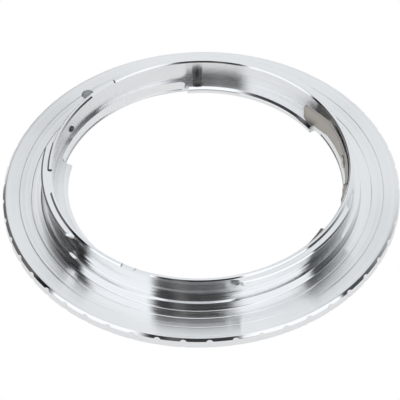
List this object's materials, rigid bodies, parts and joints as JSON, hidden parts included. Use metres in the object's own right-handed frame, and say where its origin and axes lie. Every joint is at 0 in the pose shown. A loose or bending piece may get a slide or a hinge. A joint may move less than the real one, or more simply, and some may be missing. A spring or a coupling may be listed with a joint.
{
  "type": "lens mount adapter",
  "caption": "Flat chromed ring with a bayonet collar for the camera on one side and inner bayonet lugs for a lens on the other, joining a lens to a camera body of another mount.",
  "frame": {"origin": "centre of the ring in the plane of the lens-side seat face", "axes": "+Z along the optical axis from the lens side to the camera side, -Y towards the viewer of the picture, +X to the right in it"},
  "size_m": [0.067, 0.067, 0.008],
  "materials": {
    "ring_chrome": "bright chrome plating over fine turned lines",
    "spring_steel": "satin spring steel, grained along its length",
    "pin_steel": "turned steel"
  },
  "bodies": {
    "ring": {"adapter_ring": "ring_chrome", "spring_rivets": "pin_steel", "stop_pin": "pin_steel", "index_pin": "pin_steel"},
    "spring": {"lock_spring": "spring_steel"}
  },
  "joints": [
    {"name": "spring_flex", "type": "hinge", "parent": "ring", "child": "spring", "pos_m": [0.02414, -0.00602, 0.0057], "axis": [0, 0, -1], "range_deg": [0, 1], "stiffness_Nm_per_rad": 0.5}
  ]
}
